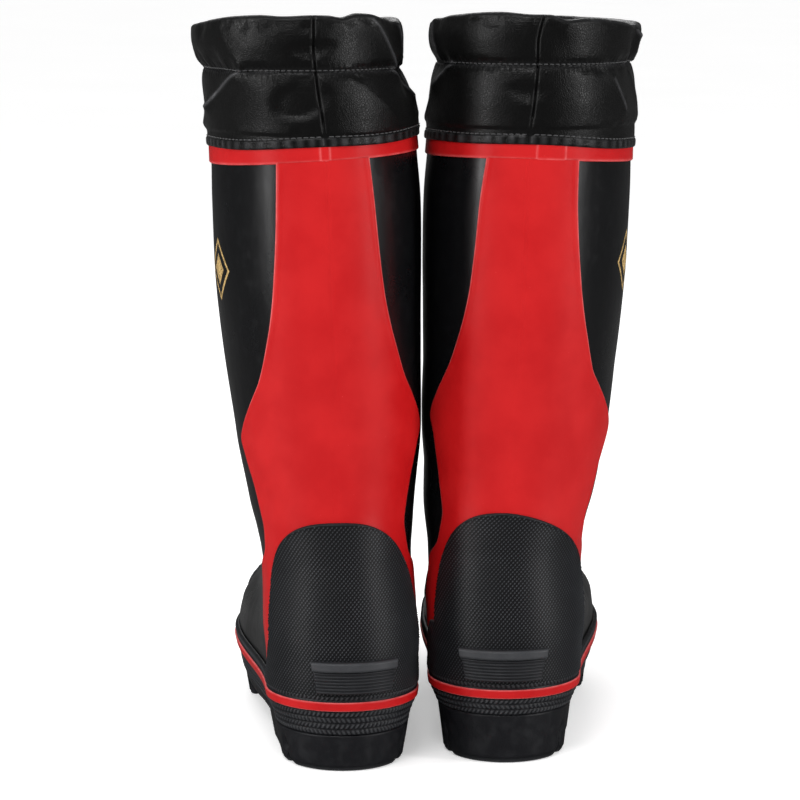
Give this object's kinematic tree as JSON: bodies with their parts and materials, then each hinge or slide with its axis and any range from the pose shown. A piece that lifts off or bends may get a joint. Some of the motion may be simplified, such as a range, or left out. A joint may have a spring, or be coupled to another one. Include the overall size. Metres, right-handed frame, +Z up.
{
  "type": "pair of fire boots",
  "caption": "Pair of knee-high rubber safety boots with a contrasting back panel, heel counter with kick-off ledge, and soft drawcord cuffs.",
  "frame": {"origin": "on the floor, under the middle of the pair's bounding box", "axes": "+Z up; the toes point to -Y and the heels to +Y; the wearer's left boot is at +X"},
  "size_m": [0.2438, 0.3206, 0.4015],
  "materials": {
    "black_rubber": "semi-gloss, hand-laid",
    "sole_rubber": "matt, moulded",
    "red_rubber": "satin",
    "black_leather": "glossy artificial leather with a fine grain",
    "lining_fabric": "knitted",
    "insole_foam": "foam with a fabric face",
    "steel": "brushed",
    "fibre_board": "pressed fibre",
    "black_cord": "braided",
    "black_plastic": "moulded"
  },
  "bodies": {
    "left_boot": {"left_outsole": "sole_rubber", "left_midsole_filler": "insole_foam", "left_steel_midsole_plate": "steel", "left_insole_board": "fibre_board", "left_removable_insole": "insole_foam", "left_lining": "lining_fabric", "left_rubber_upper": "black_rubber", "left_red_back_panel": "red_rubber", "left_heel_counter": "black_rubber", "left_kick_off_spur": "black_rubber", "left_toe_guard": "black_rubber", "left_steel_toe_cap": "steel", "left_heel_stiffener": "fibre_board", "left_foxing_tape": "sole_rubber", "left_foxing_stripe": "red_rubber", "left_top_band": "red_rubber", "left_cuff_panel": "black_leather"},
    "left_cuff": {"left_cuff_hem": "black_leather", "left_drawcord_loop": "black_cord", "left_eyelet_outer": "steel", "left_eyelet_inner": "steel"},
    "left_cord": {"left_drawcord_tail": "black_cord"},
    "left_lock": {"left_cord_lock_body": "black_plastic", "left_cord_lock_spring": "steel"},
    "left_button": {"left_cord_lock_button": "black_plastic"},
    "right_boot": {"right_outsole": "sole_rubber", "right_midsole_filler": "insole_foam", "right_steel_midsole_plate": "steel", "right_insole_board": "fibre_board", "right_removable_insole": "insole_foam", "right_lining": "lining_fabric", "right_rubber_upper": "black_rubber", "right_red_back_panel": "red_rubber", "right_heel_counter": "black_rubber", "right_kick_off_spur": "black_rubber", "right_toe_guard": "black_rubber", "right_steel_toe_cap": "steel", "right_heel_stiffener": "fibre_board", "right_foxing_tape": "sole_rubber", "right_foxing_stripe": "red_rubber", "right_top_band": "red_rubber", "right_cuff_panel": "black_leather"},
    "right_cuff": {"right_cuff_hem": "black_leather", "right_drawcord_loop": "black_cord", "right_eyelet_outer": "steel", "right_eyelet_inner": "steel"},
    "right_cord": {"right_drawcord_tail": "black_cord"},
    "right_lock": {"right_cord_lock_body": "black_plastic", "right_cord_lock_spring": "steel"},
    "right_button": {"right_cord_lock_button": "black_plastic"}
  },
  "joints": [
    {"name": "left_cuff_drop", "type": "slide", "parent": "left_boot", "child": "left_cuff", "axis": [0, 0, -1], "range_m": [0, 0.024], "deforming": ["left_cuff_panel"]},
    {"name": "left_cord_swing", "type": "hinge", "parent": "left_cuff", "child": "left_cord", "pos_m": [0.07377, 0.00954, 0.38545], "axis": [-0.9973, -0.0732, 0], "range_deg": [0, 75]},
    {"name": "left_lock_slide", "type": "slide", "parent": "left_cord", "child": "left_lock", "axis": [0, 0, 1], "range_m": [-0.015, 0.002]},
    {"name": "left_button_press", "type": "slide", "parent": "left_lock", "child": "left_button", "axis": [-0.9973, -0.0732, 0], "range_m": [0, 0.003], "stiffness_N_per_m": 900, "springref_m": -0.002, "deforming": ["left_cord_lock_spring"]},
    {"name": "right_cuff_drop", "type": "slide", "parent": "right_boot", "child": "right_cuff", "axis": [0, 0, -1], "range_m": [0, 0.024], "deforming": ["right_cuff_panel"]},
    {"name": "right_cord_swing", "type": "hinge", "parent": "right_cuff", "child": "right_cord", "pos_m": [-0.06763, -0.01018, 0.38805], "axis": [-0.9994, 0.0349, 0], "range_deg": [0, 75]},
    {"name": "right_lock_slide", "type": "slide", "parent": "right_cord", "child": "right_lock", "axis": [0, 0, 1], "range_m": [-0.015, 0.002]},
    {"name": "right_button_press", "type": "slide", "parent": "right_lock", "child": "right_button", "axis": [0.9994, -0.0349, 0], "range_m": [0, 0.003], "stiffness_N_per_m": 900, "springref_m": -0.002, "deforming": ["right_cord_lock_spring"]},
    {"name": "right_boot_shift", "type": "slide", "parent": "left_boot", "child": "right_boot", "axis": [-1, 0, 0], "range_m": [0, 0.1]}
  ]
}
